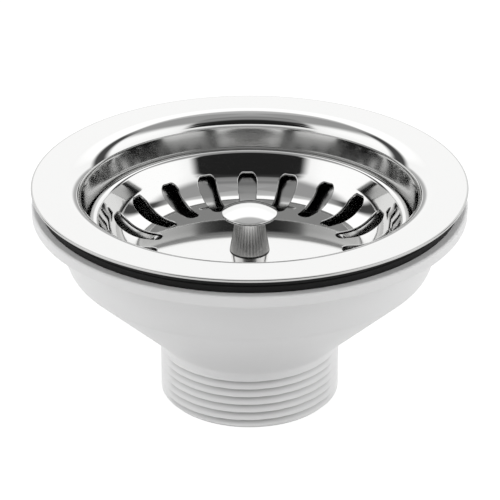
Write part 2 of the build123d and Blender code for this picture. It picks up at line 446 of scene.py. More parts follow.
def ring_tree():
    """Tree that sets copies of one sector evenly about the axis and welds their seams."""
    sizes = {"Count": "NodeSocketInt", "First angle": "NodeSocketFloat", "Weld": "NodeSocketFloat"}
    tree, given = new_geometry_tree("Copies about the axis", sizes)
    points = first_of(tree, "GeometryNodePoints", {"Count": given["Count"]})
    index = first_of(tree, "GeometryNodeInputIndex")
    turn = calc("MULTIPLY", calc("DIVIDE", index, given["Count"]), tau)
    angle = calc("ADD", turn, given["First angle"])
    rotation = first_of(tree, "FunctionNodeAxisAngleToRotation", {"Axis": (0, 0, 1), "Angle": angle})
    inputs = {"Points": points, "Instance": given["Geometry"], "Rotation": rotation}
    copies = first_of(tree, "GeometryNodeInstanceOnPoints", inputs)
    loose = first_of(tree, "GeometryNodeRealizeInstances", {"Geometry": copies})
    inputs = {"Geometry": loose, "Distance": given["Weld"]}
    welded = first_of(tree, "GeometryNodeMergeByDistance", inputs)
    close_geometry_tree(tree, welded, given["Finish"])
    return tree


def thread_flank(phase, step):
    """Depth of a thread over one turn: 1 at its root, 0 on its flat crest, which lies a step above."""
    below = calc("SUBTRACT", 1.0, calc("DIVIDE", phase, step))
    above = calc("DIVIDE", calc("SUBTRACT", phase, step), calc("SUBTRACT", 1.0, step))
    sharp = calc("MAXIMUM", below, above)
    flattened = calc("MULTIPLY_ADD", sharp, 1 + thread_crest_flat, -thread_crest_flat)
    return calc("MAXIMUM", flattened, 0.0)


def thread_tree():
    """Tree that sinks a right-hand helical groove into the outer wall of a turned piece."""
    names = ("Wall radius", "Pitch", "Depth", "Step", "Side", "Side fade", "Groove height", "Low end",
             "High end", "Run-out")
    tree, given = new_geometry_tree("Helical thread", {name: "NodeSocketFloat" for name in names})
    x, y, z = parts_of(first_of(tree, "GeometryNodeInputPosition"))
    radius = radius_of(x, y)
    turn = calc("DIVIDE", calc("ARCTAN2", x, calc("MULTIPLY", y, -1.0)), tau)
    climb = calc("DIVIDE", calc("SUBTRACT", z, given["Groove height"]), given["Pitch"])
    flank = thread_flank(calc("FRACT", calc("SUBTRACT", climb, turn)), given["Step"])
    low = calc("DIVIDE", calc("SUBTRACT", z, given["Low end"]), given["Run-out"])
    high = calc("DIVIDE", calc("SUBTRACT", given["High end"], z), given["Run-out"])
    sideways = calc("DIVIDE", calc("ABSOLUTE", x), radius)
    inside = calc("MULTIPLY", calc("SUBTRACT", given["Side"], sideways), given["Side fade"])
    least = calc("MINIMUM", calc("MINIMUM", low, high), inside)
    fade = first_of(tree, "ShaderNodeClamp", {0: least})
    sink = calc("MULTIPLY", calc("MULTIPLY", flank, fade), given["Depth"])
    scale = calc("DIVIDE", calc("SUBTRACT", radius, sink), radius)
    inputs = {0: calc("MULTIPLY", x, scale), 1: calc("MULTIPLY", y, scale), 2: z}
    moved = first_of(tree, "ShaderNodeCombineXYZ", inputs)
    from_wall = calc("ABSOLUTE", calc("SUBTRACT", radius, given["Wall radius"]))
    on_wall = calc("LESS_THAN", from_wall, ON_WALL * MM)
    inputs = {"Geometry": given["Geometry"], "Selection": on_wall, "Position": moved}
    sunk = first_of(tree, "GeometryNodeSetPosition", inputs)
    close_geometry_tree(tree, sunk, given["Finish"])
    return tree


copies_about_axis = ring_tree()
helical_thread = thread_tree()


def bake(piece):
    """Turns a piece's modifiers into plain mesh, with its faces outwards."""
    evaluated = piece.evaluated_get(bpy.context.evaluated_depsgraph_get())
    mesh = bpy.data.meshes.new_from_object(evaluated)
    piece.modifiers.clear()
    piece.data = mesh
    bm = bmesh.new()
    bm.from_mesh(mesh)
    bmesh.ops.recalc_face_normals(bm, faces=bm.faces)
    bm.to_mesh(mesh)
    bm.free()
    shade(mesh)
    return piece


def run_tree(piece, tree, values):
    """Runs a Geometry Nodes tree on a piece, with its inputs given by name."""
    modifier = piece.modifiers.new(tree.name, "NODES")
    modifier.node_group = tree
    for socket in tree.interface.items_tree:
        if socket.in_out == "INPUT" and socket.name in values:
            modifier[socket.identifier] = values[socket.name]
    return bake(piece)


def ring_of(piece, count, finish, first_angle=0.0):
    """Repeats a sector about the axis."""
    values = {"Count": count, "First angle": first_angle, "Weld": WELD * MM, "Finish": finish}
    return run_tree(piece, copies_about_axis, values)


def threaded(piece, radius, pitch, depth, step, side, groove, top, bottom, run_out, finish):
    """Cuts a thread into a piece's outer wall between two depths.

    Step is the lower flank's share of the pitch. Side is the share of the radius, to the left and right,
    at which the thread ends; over 1, it runs all the way round."""
    return run_tree(piece, helical_thread, {
        "Wall radius": radius * MM, "Pitch": pitch * MM, "Depth": depth * MM, "Step": step, "Side": side,
        "Side fade": thread_side_fade, "Groove height": (WASTE_TOP - groove) * MM,
        "Low end": (WASTE_TOP - bottom) * MM, "High end": (WASTE_TOP - top) * MM,
        "Run-out": run_out * MM, "Finish": finish})


def combine(piece, other, operation):
    """Unites another piece with a piece, cuts it from it, or keeps what they share."""
    modifier = piece.modifiers.new(operation, "BOOLEAN")
    modifier.object = other
    modifier.operation = operation
    modifier.solver = "MANIFOLD"
    bake(piece)
    bpy.data.objects.remove(other)
    return piece


# Pierced sheet, built as one sector with one opening

def sector_outline(inner, outer, half_angle, columns, rows):
    """Closed outline of a sector of a ring, in plan, anticlockwise from its outer edge's start."""
    across = [half_angle * (2 * i / columns - 1) for i in range(columns)]
    along = [inner + (outer - inner) * i / rows for i in range(rows)]
    polar = [(outer, a) for a in across]
    polar += [(inner + outer - r, half_angle) for r in along]
    polar += [(inner, -a) for a in across]
    polar += [(r, -half_angle) for r in along]
    return [Vector((r * cos(a), r * sin(a))) for r, a in polar]


def evenly(points, count):
    """Evenly spaced points along an open line, its last point left out."""
    reached = [0.0]
    for start, end in zip(points, points[1:]):
        reached.append(reached[-1] + (end - start).length)
    spaced = []
    run = 0
    for i in range(count):
        target = reached[-1] * i / count
        while reached[run + 1] < target:
            run += 1
        share = (target - reached[run]) / (reached[run + 1] - reached[run])
        spaced.append(points[run].lerp(points[run + 1], share))
    return spaced


def opening_outline(corners, radius, columns, rows):
    """Closed outline of a four-cornered opening, divided from the middle of each corner to the next."""
    arcs = [corner_arc(corners[i - 1], corners[i], corners[(i + 1) % 4], radius) for i in range(4)]
    outline = []
    for i, count in enumerate((columns, rows, columns, rows)):
        leaving, arriving = arcs[i], arcs[(i + 1) % 4]
        side = leaving[len(leaving) // 2:] + arriving[:len(arriving) // 2 + 1]
        outline += evenly(side, count)
    return outline


def pierced_patch(bm, edge, opening, sunk, thickness, edge_round):
    """Sheet between a sector's outline and its opening, the opening's upper edge rounded.

    The function sunk places a plan point at a depth in the sheet, square to the sheet's upper face."""
    lower_shares = (1.0, 0.5, 0.0)
    round_degrees = (0, 22, 45, 67, 90)
    upper_shares = (0.12, 0.3, 0.52, 0.76, 1.0)
    count = len(opening)
    away = [right_of(heading(opening[i - 1], opening[(i + 1) % count])) for i in range(count)]
    rows = []
    for share in lower_shares:
        rows.append([sunk(hole.lerp(rim, share), thickness) for hole, rim in zip(opening, edge)])
    for degrees in round_degrees:
        angle = radians(degrees)
        out, drop = edge_round * (1 - cos(angle)), edge_round * (1 - sin(angle))
        rows.append([sunk(hole + normal * out, drop) for hole, normal in zip(opening, away)])
    rolled = [hole + normal * edge_round for hole, normal in zip(opening, away)]
    for share in upper_shares:
        rows.append([sunk(hole.lerp(rim, share), 0) for hole, rim in zip(rolled, edge)])
    rings = [[bm.verts.new(point * MM) for point in row] for row in rows]
    for first, second in zip(rings, rings[1:]):
        join_rows(bm, first, second, closed=True)


def sector_strip(bm, line, half_angle, columns):
    """The part of a turned sheet that belongs to one sector, from an open line."""
    angles = [half_angle * (2 * i / columns - 1) for i in range(columns + 1)]
    rows = [[bm.verts.new(place(point, a)) for a in angles] for point in line]
    for first, second in zip(rows, rows[1:]):
        join_rows(bm, first, second, closed=False)


def set_exact_normals(piece, surfaces):
    """Gives a pressed sheet the normals of its section, so that it mirrors without ripples.

    Each surface is a height as a function of the radius, and the side that it faces."""
    mesh = piece.data
    step, on_surface, same_way = 0.001, 0.004, 0.95
    normals = [corner.vector.copy() for corner in mesh.corner_normals]
    for polygon in mesh.polygons:
        for i in polygon.loop_indices:
            point = mesh.vertices[mesh.loops[i].vertex_index].co / MM
            radius = hypot(point.x, point.y)
            for height, side in surfaces:
                if abs(height(radius) - point.z) > on_surface:
                    continue
                slope = (height(radius + step) - height(radius - step)) / (2 * step)
                square = Vector((-slope * point.x / radius, -slope * point.y / radius, 1))
                exact = side * square.normalized()
                if exact.dot(polygon.normal) > same_way:
                    normals[i] = exact
    mesh.normals_split_custom_set(normals)


# Materials

def new_material(name, **values):
    """Material with a Principled shader; returns the material, its tree and the shader."""
    material = bpy.data.materials.new(name)
    material.use_nodes = True
    tree = material.node_tree
    shader = tree.nodes["Principled BSDF"]
    for key, value in values.items():
        shader.inputs[key.replace("_", " ")].default_value = value
    return material, tree, shader


def object_point(tree):
    """Object coordinates, in millimetres."""
    source = add(tree, "ShaderNodeTexCoord").outputs["Object"]
    return first_of(tree, "ShaderNodeVectorMath", {0: source, "Scale": 1 / MM}, operation="SCALE")


def lathe_point(tree, around):
    """Coordinates that follow turning marks: radius, a little of the angle, and height."""
    x, y, z = parts_of(object_point(tree))
    angle = calc("MULTIPLY", calc("ARCTAN2", y, x), around)
    return first_of(tree, "ShaderNodeCombineXYZ", {0: radius_of(x, y), 1: angle, 2: z})


def noise(vector, scale, detail):
    """Noise between 0 and 1, its features about 1 / scale millimetres wide."""
    inputs = {"Vector": vector, "Scale": scale, "Detail": detail}
    return first_of(vector.id_data, "ShaderNodeTexNoise", inputs)


def vary(shader, socket, value, low, high):
    """Drives a shader's number from a 0 to 1 value."""
    tree = shader.id_data
    inputs = {"Value": value, "To Min": low, "To Max": high}
    tree.links.new(first_of(tree, "ShaderNodeMapRange", inputs), shader.inputs[socket])


def tint(shader, value, first, second):
    """Drives a shader's colour between two colours."""
    tree = shader.id_data
    inputs = {"Factor": value, 6: (*first, 1), 7: (*second, 1)}
    mix = add(tree, "ShaderNodeMix", inputs, data_type="RGBA")
    tree.links.new(mix.outputs[2], shader.inputs["Base Color"])


def relief(shader, height, strength, distance):
    """Fine relief on a shader's normal; distance in millimetres."""
    tree = shader.id_data
    inputs = {"Height": height, "Strength": strength, "Distance": distance * MM}
    tree.links.new(first_of(tree, "ShaderNodeBump", inputs), shader.inputs["Normal"])


def polished_steel():
    """Mirror-polished stainless sheet with faint circular polishing marks."""
    material, tree, shader = new_material("polished steel", Metallic=1.0)
    marks = noise(lathe_point(tree, 1.5), 9.0, 4.0)
    tint(shader, marks, (0.69, 0.69, 0.685), (0.72, 0.72, 0.715))
    vary(shader, "Roughness", marks, 0.02, 0.07)
    return material


def cup_steel():
    """Polished sheet, rougher down its drawn wall below the lip, where painted shade also darkens its
    colour, and darker in colour at its trimmed edge.
    """
    material, tree, shader = new_material("cup steel", Metallic=1.0)
    marks = noise(lathe_point(tree, 6.0), 0.3, 2.0)
    x, y, height = parts_of(object_point(tree))
    down_wall = ramp(height, WASTE_TOP - painted_shade_and_dull_start_depth, WASTE_TOP - painted_shade_and_dull_full_depth)
    on_edge = calc("GREATER_THAN", radius_of(x, y), flange_radius - flange_dark_edge)
    painted_shade_and_dark_edge = calc("MAXIMUM", down_wall, on_edge)
    # Painted shade darkens the colour of the wall below the lip; the trimmed edge is darker as well
    tint(shader, painted_shade_and_dark_edge, (0.70, 0.70, 0.695), (0.50, 0.50, 0.495))
    dulled = calc("MULTIPLY", down_wall, calc("MULTIPLY_ADD", marks, 0.05, 0.08))
    tree.links.new(calc("ADD", dulled, 0.03), shader.inputs["Roughness"])
    return material


def satin_steel():
    """Turned stem, polished less than the sheet, with a dark band of painted contact shade at its foot,
    where it stands on the basket's floor.
    """
    material, tree, shader = new_material("satin steel", Metallic=1.0)
    lines = noise(lathe_point(tree, 0.4), 10.0, 3.0)
    height = parts_of(object_point(tree))[2]
    above_painted_foot_shade = calc("GREATER_THAN", height, WASTE_TOP - basket_depth + stem_foot_shade_height)
    # Painted contact shade: the stem's lowest part is dark where it meets the basket's floor
    tint(shader, above_painted_foot_shade, (0.12, 0.12, 0.12), (0.81, 0.805, 0.795))
    vary(shader, "Roughness", lines, 0.19, 0.21)
    return material


def turned_steel():
    """Plain stainless with fine turning lines."""
    material, tree, shader = new_material("turned steel", Metallic=1.0)
    lines = noise(lathe_point(tree, 0.4), 14.0, 3.0)
    tint(shader, lines, (0.58, 0.58, 0.57), (0.66, 0.66, 0.65))
    vary(shader, "Roughness", lines, 0.16, 0.38)
    relief(shader, lines, 0.25, 0.02)
    return material


def painted_groove_shade(point):
    """Mask of the painted shade in the outlet thread's grooves: 1 at the root, 0 near the crest and on
    every other wall.
    """
    x, y, z = parts_of(point)
    radius = radius_of(x, y)
    root = outlet_radius - thread_depth
    in_groove = ramp(radius, root + painted_groove_shade_reach * thread_depth, root)
    on_outside = calc("GREATER_THAN", radius, root - painted_groove_shade_margin)
    on_outlet = calc("LESS_THAN", z, WASTE_TOP - thread_top)
    return calc("MULTIPLY", calc("MULTIPLY", in_groove, on_outside), on_outlet)


def white_plastic():
    """Satin moulded polypropylene with a fine grain; painted shade darkens its thread's grooves."""
    material, tree, shader = new_material("white plastic", IOR=1.49)
    point = object_point(tree)
    mottled = calc("MULTIPLY", noise(point, 0.06, 2.0), 0.08)
    mottle_and_painted_shade = calc("MAXIMUM", mottled, painted_groove_shade(point))
    # Colour darkened by a random mottle and by painted shade in the thread's grooves
    tint(shader, mottle_and_painted_shade, (0.84, 0.84, 0.84), (0.42, 0.42, 0.42))
    grain = noise(point, 5.0, 3.0)
    vary(shader, "Roughness", grain, 0.34, 0.46)
    relief(shader, grain, 0.12, 0.03)
    return material


def black_rubber():
    """Matt moulded rubber."""
    material, tree, shader = new_material("black rubber", Specular_IOR_Level=0.2)
    point = object_point(tree)
    tint(shader, noise(point, 0.8, 4.0), (0.005, 0.005, 0.005), (0.009, 0.009, 0.009))
    grain = noise(point, 7.0, 3.0)
    vary(shader, "Roughness", grain, 0.48, 0.68)
    relief(shader, grain, 0.2, 0.03)
    return material


def turned_brass():
    """Brass with turning lines."""
    material, tree, shader = new_material("turned brass", Metallic=1.0)
    lines = noise(lathe_point(tree, 0.4), 12.0, 3.0)
    tint(shader, lines, (0.66, 0.46, 0.19), (0.76, 0.56, 0.27))
    vary(shader, "Roughness", lines, 0.18, 0.34)
    return material


def natural_nylon():
    """Ivory nylon, a little translucent."""
    material, tree, shader = new_material("natural nylon", Subsurface_Weight=0.2, Subsurface_Scale=0.5 * MM)
    point = object_point(tree)
    tint(shader, noise(point, 0.5, 2.0), (0.78, 0.76, 0.69), (0.84, 0.82, 0.77))
    vary(shader, "Roughness", noise(point, 6.0, 2.0), 0.38, 0.5)
    return material


FINISHES = {
    "polished_steel": polished_steel(),
    "plain_steel": turned_steel(),
    "white_plastic": white_plastic(),
    "black_rubber": black_rubber(),
    "brass": turned_brass(),
    "natural_nylon": natural_nylon(),
}
BODIES = frame["record"]["behaviour"]["bodies"]
BODY_OF = {node: body for body, nodes in BODIES.items() for node in nodes}
SLOT_OF = {entry["node"]: entry["material_slot"] for entry in frame["record"]["subparts"]}


def finish_of(node):
    """Material that belongs to a CAD node's slot."""
    return FINISHES[SLOT_OF[node]]


def stand_for(node, piece, finish=None):
    """Lets a finished piece stand for a CAD node, on its body and in its finish."""
    piece.data.materials.clear()
    piece.data.materials.append(finish or finish_of(node))
    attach(piece, BODY_OF[node])
    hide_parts(node)


# Pieces

def hub_line(hole_radius, outer, upper, lower):
    """Open line round the middle of a flat floor, from below through its hole to above, by depths."""
    return [at(outer, lower), at(hole_radius, lower), at(hole_radius, upper), at(outer, upper)]


def cup_wall(start):
    """Outline of the cup's sheet from a radius outwards: sump, shoulder, tapered wall, lip and flange."""
    shoulder_depth = basket_underside + shoulder_gap
    neck_foot = neck_radius - shoulder_depth * tan(neck_draft)
    sump_foot = sump_radius - (cup_depth - shoulder_depth) * tan(sump_draft)
    inside = [at(start, cup_depth), at(sump_foot, cup_depth), at(sump_radius, shoulder_depth),
              at(neck_foot, shoulder_depth), at(neck_radius, 0), at(flange_radius, 0)]
    bends = [sump_corner_radius, sump_edge_radius, cup_corner_radius, lip_radius]
    return sheet(inside, bends, cup_sheet, flange_edge_round)


def drain_outline(half_angle, columns):
    """Outline of a drain opening in plan: a bar with round ends, bent about the axis."""
    middle = (drain_inner_radius + drain_outer_radius) / 2
    reach = half_angle * middle - drain_bridge / 2
    corners = bar(drain_inner_radius, drain_outer_radius, reach, reach)
    straight = opening_outline(corners, drain_end_round, columns, DRAIN_ROWS)
    return [Vector((p.x * cos(p.y / middle), p.x * sin(p.y / middle))) for p in straight]


def in_cup_floor(plan, depth):
    """Place of a plan point at a depth in the cup's floor."""
    return Vector((plan.x, plan.y, WASTE_TOP - cup_depth - depth))


def polished_cup():
    """Flange, rounded lip, tapered wall, shoulder under the basket and a sump with six drain openings."""
    half_angle = pi / drain_count
    columns = RING // drain_count
    inner, outer = drain_inner_radius - drain_border, drain_outer_radius + drain_border
    bm = bmesh.new()
    sector_strip(bm, cup_wall(outer), half_angle, columns)
    sector_strip(bm, hub_line(screw_hole_radius, inner, cup_depth, cup_underside), half_angle, columns)
    edge = sector_outline(inner, outer, half_angle, columns, DRAIN_ROWS)
    pierced_patch(bm, edge, drain_outline(half_angle, columns), in_cup_floor, cup_sheet, drain_edge_round)
    return ring_of(new_piece(bm, "polished_cup"), drain_count, finish_of("steel_cup"))


# Section of the basket: rolled rim, straight wall, a bend at its foot and a flat floor

roll_centre = at(basket_radius - rim_roll_radius, rim_top_depth + rim_roll_radius)
wall_square = Vector((-sin(basket_wall_slope), cos(basket_wall_slope)))
wall_top = roll_centre + rim_roll_radius * wall_square
basket_floor = WASTE_TOP - basket_depth
wall_foot = wall_top.x - (wall_top.y - basket_floor) / tan(basket_wall_slope)
bend_setback = basket_corner_radius * tan(basket_wall_slope / 2)
bend_start = wall_foot - bend_setback
slot_outer = wall_foot + bend_setback * cos(basket_wall_slope) - slot_wall_margin
slot_inner = bend_start - slot_floor_run


def basket_face(radius, offset):
    """Height of the basket's upper face at a radius, or of a face at an offset below it."""
    slope = basket_wall_slope
    bend = basket_corner_radius + offset
    if radius < bend_start:
        return basket_floor - offset
    if radius < bend_start + bend * sin(slope):
        return basket_floor + basket_corner_radius - sqrt(bend ** 2 - (radius - bend_start) ** 2)
    return wall_top.y - offset / cos(slope) + (radius - wall_top.x) * tan(slope)


def basket_upper(radius):
    """Height of the basket's upper face at a radius."""
    return basket_face(radius, 0)


def basket_lower(radius):
    """Height of the basket's lower face at a radius."""
    return basket_face(radius, basket_sheet)


def in_basket(plan, depth):
    """Place of a plan point at a depth in the basket's sheet, square to its upper face."""
    radius = plan.length
    share = (radius - bend_start) / basket_corner_radius
    tilt = asin(min(max(share, 0), sin(basket_wall_slope)))
    spread = 1 + depth * sin(tilt) / radius
    return Vector((plan.x * spread, plan.y * spread, basket_upper(radius) - depth * cos(tilt)))


def basket_rim(start):
    """Open line from a radius up the wall's inside, round the rolled rim and down its outside."""
    roll_start, roll_end = pi / 2 + basket_wall_slope, -pi / 2
    rim = arc(roll_centre, rim_roll_radius, roll_start, roll_end)
    rim += arc(roll_centre, rim_roll_radius - basket_sheet, roll_end, roll_start)
    inside_radii = [start + (wall_top.x - start) * i / WALL_ROWS for i in range(WALL_ROWS)]
    inside = [Vector((r, basket_upper(r))) for r in inside_radii]
    high, foot = rim[-1].x, start + basket_sheet * sin(basket_wall_slope)
    outside_radii = [high + (foot - high) * i / WALL_ROWS for i in range(1, WALL_ROWS + 1)]
    outside = [Vector((r, basket_lower(r))) for r in outside_radii]
    return inside + rim + outside


def slot_outline(columns):
    """Outline of a slot in plan, wider at its outer end."""
    corners = bar(slot_inner, slot_outer, slot_inner_width / 2, slot_outer_width / 2)
    return opening_outline(corners, slot_round, columns, SLOT_ROWS)


def strainer_basket():
    """Pressed strainer with a rolled rim, a rounded wall and a ring of slots."""
    half_angle = pi / slot_count
    columns = BASKET_RING // slot_count
    inner, outer = slot_inner - slot_border, slot_outer + slot_border
    bm = bmesh.new()
    sector_strip(bm, hub_line(pin_hole_radius, inner, basket_depth, basket_underside), half_angle, columns)
    sector_strip(bm, basket_rim(outer), half_angle, columns)
    edge = sector_outline(inner, outer, half_angle, columns, SLOT_ROWS)
    pierced_patch(bm, edge, slot_outline(columns), in_basket, basket_sheet, slot_edge_round)
    basket = ring_of(new_piece(bm, "strainer_basket"), slot_count, finish_of("basket"), slot_bearing)
    set_exact_normals(basket, [(basket_upper, 1), (basket_lower, -1)])
    return basket


def spider_rib():
    """Rib from the boss out into the body's wall."""
    cone = heading(at(knee_corner_radius, knee_depth), at(outlet_radius, throat_depth))
    tube_middle = outlet_radius - body_wall / 2
    wall_middle = at(outlet_radius, throat_depth) + right_of(cone) * body_wall / 2
    steepness = cone.x / cone.y
    top_reach = wall_middle.x + (WASTE_TOP - boss_top - wall_middle.y) * steepness
    tube_start = WASTE_TOP - wall_middle.y - (tube_middle - wall_middle.x) / steepness
    start = boss_radius - body_wall / 2
    corners = [at(start, boss_bottom), at(tube_middle, boss_bottom), at(tube_middle, tube_start),
               at(top_reach, boss_top), at(start, boss_top)]
    half = rib_thickness / 2
    faces = [[Vector((p.x, y, p.y)) for p in corners] for y in (-half, half)]
    return solid_between("spider_rib", *faces)


def ribbed_boss():
    """Boss with a stepped bore for the insert and the screw, on ribs that reach into the body's wall."""
    corners = [at(insert_radius, boss_top), at(insert_radius, insert_bottom),
               at(screw_hole_radius, insert_bottom), at(screw_hole_radius, boss_bottom),
               at(boss_radius, boss_bottom), at(boss_radius, boss_top)]
    boss = turned("boss", rounded(corners, [0, 0, 0, 0, moulded_edge, moulded_edge]), SMALL_RING)
    ribs = ring_of(spider_rib(), rib_count, finish_of("waste_body"), pi / rib_count)
    return combine(boss, ribs, "UNION")


def body_outline():
    """Outline of rim, drum, cone and outlet, with close rows where the thread is cut."""
    outlet_rows = rows_between(outlet_radius, thread_top, thread_bottom - outlet_chamfer,
                               thread_pitch / ROWS_PER_TURN)
    outside = [at(drum_radius, rim_top), at(drum_radius, rim_bottom), at(knee_corner_radius, knee_depth),
               at(outlet_radius, throat_depth), at(outlet_radius, body_bottom)]
    inside = beside(outside, body_wall)[::-1]
    corners = [at(rim_radius, rim_top), at(rim_radius, rim_bottom), *outside[1:4], *outlet_rows,
               at(outlet_radius, body_bottom - outlet_chamfer),
               at(outlet_radius - outlet_chamfer, body_bottom), *inside]
    radii = [rim_edge_round, rim_edge_round, moulded_edge, knee_radius, throat_radius]
    radii += [0] * (len(outlet_rows) + 2) + [moulded_edge]
    radii += [throat_radius + body_wall, knee_radius - body_wall, 0, moulded_edge]
    return rounded(corners, radii)


def moulded_body():
    """Rim, drum, cone, threaded outlet and the ribbed boss inside."""
    body = turned("moulded_body", body_outline())
    combine(body, ribbed_boss(), "UNION")
    return threaded(body, outlet_radius, thread_pitch, thread_depth, thread_step, thread_side,
                    thread_groove, thread_top, thread_bottom, thread_run_out, finish_of("waste_body"))


def knob_button():
    """Domed button with a rounded edge and a short neck."""
    dome_radius = (cap_radius ** 2 + cap_crown ** 2) / (2 * cap_crown)
    dome = []
    for i in range(DOME_RINGS + 1):
        radius = cap_radius * i / DOME_RINGS
        dome.append(at(radius, cap_top + dome_radius - sqrt(dome_radius ** 2 - radius ** 2)))
    cap_bottom = cap_top + cap_crown + cap_edge
    pin_top = extent("stem_pin")[1]
    under = [at(cap_radius, cap_bottom), at(cap_neck_radius, cap_bottom), at(cap_neck_radius, stem_top),
             at(nut_bore_radius, stem_top), at(nut_bore_radius, pin_top), at(0, pin_top)]
    radii = [0] * DOME_RINGS + [cap_edge_round, cap_edge_round, 0, 0, 0, 0, 0]
    return turned("knob_button", rounded(dome + under, radii))


def flared_stem():
    """Stem that widens towards the basket's floor."""
    corners = [at(pin_hole_radius, basket_depth), at(pin_hole_radius, stem_top),
               at(stem_top_radius, stem_top), at(stem_base_radius, basket_depth)]
    return turned("flared_stem", rounded(corners, [0, 0, stem_shoulder_radius, small_edge]))


def knob_pin():
    """Pin with a chamfered tip and a groove for its clip."""
    _, pin_top, pin_tip = extent("stem_pin")
    _, clip_top, clip_bottom = extent("retaining_clip")
    groove = pin_radius - clip_groove_depth
    corners = [at(0, pin_top), at(0, pin_tip), at(pin_radius - pin_tip_chamfer, pin_tip),
               at(pin_radius, pin_tip - pin_tip_chamfer), at(pin_radius, clip_bottom),
               at(groove, clip_bottom), at(groove, clip_top), at(pin_radius, clip_top),
               at(pin_radius, pin_top)]
    return turned("knob_pin", rounded(corners, [0] * len(corners)), SMALL_RING)


def rubber_plug():
    """Bell whose lip closes on the cup's floor."""
    line = [at(pin_hole_radius, plug_top), at(plug_crown_radius, plug_top),
            at(plug_radius, plug_bottom - plug_lip_height), at(plug_radius, plug_bottom)]
    bell = sheet(line, [plug_crown_round, moulded_edge], plug_thickness, moulded_edge)
    return turned("rubber_plug", bell)


def slotted_screw():
    """Hollow fixing screw with a driver slot across its head."""
    shank_rows = rows_between(screw_radius, screw_thread_top, screw_end - screw_tip_chamfer,
                              screw_pitch / ROWS_PER_TURN)
    corners = [at(socket_radius, screw_top), at(socket_radius, socket_bottom), at(0, socket_bottom),
               at(0, screw_end), at(screw_radius - screw_tip_chamfer, screw_end), *shank_rows[::-1],
               at(screw_radius, screw_seat), at(screw_head_radius, screw_seat),
               at(screw_head_radius, screw_top)]
    radii = [small_edge, 0, 0, 0, 0] + [0] * len(shank_rows) + [0, small_edge, screw_head_round]
    screw = turned("slotted_screw", rounded(corners, radii), SCREW_RING)
    half_length, half_width = screw_head_radius + OVERCUT, driver_slot_width / 2
    across = bar(-half_length, half_length, half_width, half_width)
    head_top = WASTE_TOP - screw_top
    slot = prism("driver_slot", across, head_top - driver_slot_depth, head_top + OVERCUT)
    combine(screw, slot, "DIFFERENCE")
    return threaded(screw, screw_radius, screw_pitch, screw_thread_depth, screw_thread_step,
                    screw_thread_side, screw_thread_top, screw_thread_top, screw_end, screw_run_out,
                    finish_of("fixing_screw"))


def hexagon_nut():
    """Thin nut with chamfered corners."""
    half_width, top, bottom = extent("lock_nut")
    half_side = pi / nut_sides
    reach = half_width / cos(half_side)
    drop = (reach - half_width) * tan(nut_chamfer)
    corners = [at(nut_bore_radius, top), at(nut_bore_radius, bottom), at(half_width, bottom),
               at(reach, bottom - drop), at(reach, top + drop), at(half_width, top)]
    nut = turned("hexagon_nut", rounded(corners, [small_edge, small_edge, 0, 0, 0, 0]), SMALL_RING)
    angles = [2 * half_side * i for i in range(nut_sides)]
    sides = [(reach * cos(a), reach * sin(a)) for a in angles]
    blank = prism("hexagon", sides, WASTE_TOP - bottom - OVERCUT, WASTE_TOP - top + OVERCUT)
    return combine(nut, blank, "INTERSECT")


def split_sleeve():
    """Nylon sleeve with slits up from its lower end."""
    outer, top, bottom = extent("grip_sleeve")
    ring = plain_ring(sleeve_bore_radius, outer, top, bottom, small_edge)
    sleeve = turned("split_sleeve", ring, SMALL_RING)
    start, end, half_width = sleeve_bore_radius - OVERCUT, outer + OVERCUT, sleeve_slit_width / 2
    across = bar(start, end, half_width, half_width)
    low = WASTE_TOP - bottom
    slit = prism("sleeve_slit", across, low - OVERCUT, low + sleeve_slit_length)
    return combine(sleeve, ring_of(slit, sleeve_slit_count, finish_of("grip_sleeve")), "DIFFERENCE")


def flat_ring(name, node, bore, edge_round):
    """Gasket or washer: a plain ring with softened edges."""
    return turned(name, plain_ring(bore, *extent(node), edge_round))


stand_for("steel_cup", polished_cup(), cup_steel())
stand_for("upper_gasket", flat_ring("flange_gasket", "upper_gasket", gasket_bore_radius, moulded_edge))
stand_for("lower_gasket", flat_ring("rim_gasket", "lower_gasket", gasket_bore_radius, moulded_edge))
stand_for("waste_body", moulded_body())
stand_for("fixing_screw", slotted_screw())
stand_for("screw_washer", flat_ring("sealing_washer", "screw_washer", screw_hole_radius, small_edge))
stand_for("basket", strainer_basket())
stand_for("knob_cap", knob_button())
stand_for("knob_stem", flared_stem(), satin_steel())
stand_for("stem_pin", knob_pin())
stand_for("plug_seal", rubber_plug())
stand_for("seal_plate", flat_ring("plug_plate", "seal_plate", pin_hole_radius, small_edge))
stand_for("lock_nut", hexagon_nut())
stand_for("grip_sleeve", split_sleeve())
for kept in ("thread_insert", "retaining_clip"):
    frame["nodes"][kept].data.materials.clear()
    frame["nodes"][kept].data.materials.append(finish_of(kept))


# Stage: white floor, surround, two side lamps and the camera

# Brightness of the surround over an arch from the front horizon (0 degrees) overhead to the back (180)
ARCH = (
    (0, 0.45), (10, 0.45), (16, 1.2), (36, 1.2),  # grey horizon and a bright strip in front
    (41, 0.04), (48, 0.04),  # dark strip
    (52, 0.28), (60, 0.36), (64, 0.28), (68, 0.28), (73, 0.42), (100, 0.58), (112, 0.66),  # grey overhead
    (117, 1.45), (142, 1.45), (152, 1.29), (165, 1.29),  # bright back
    (171, 0.6), (180, 0.45),  # grey horizon behind
)
ARCH_PEAK = 1.45


def from_degrees(*degrees):
    """Angles from degrees."""
    return [radians(angle) for angle in degrees]


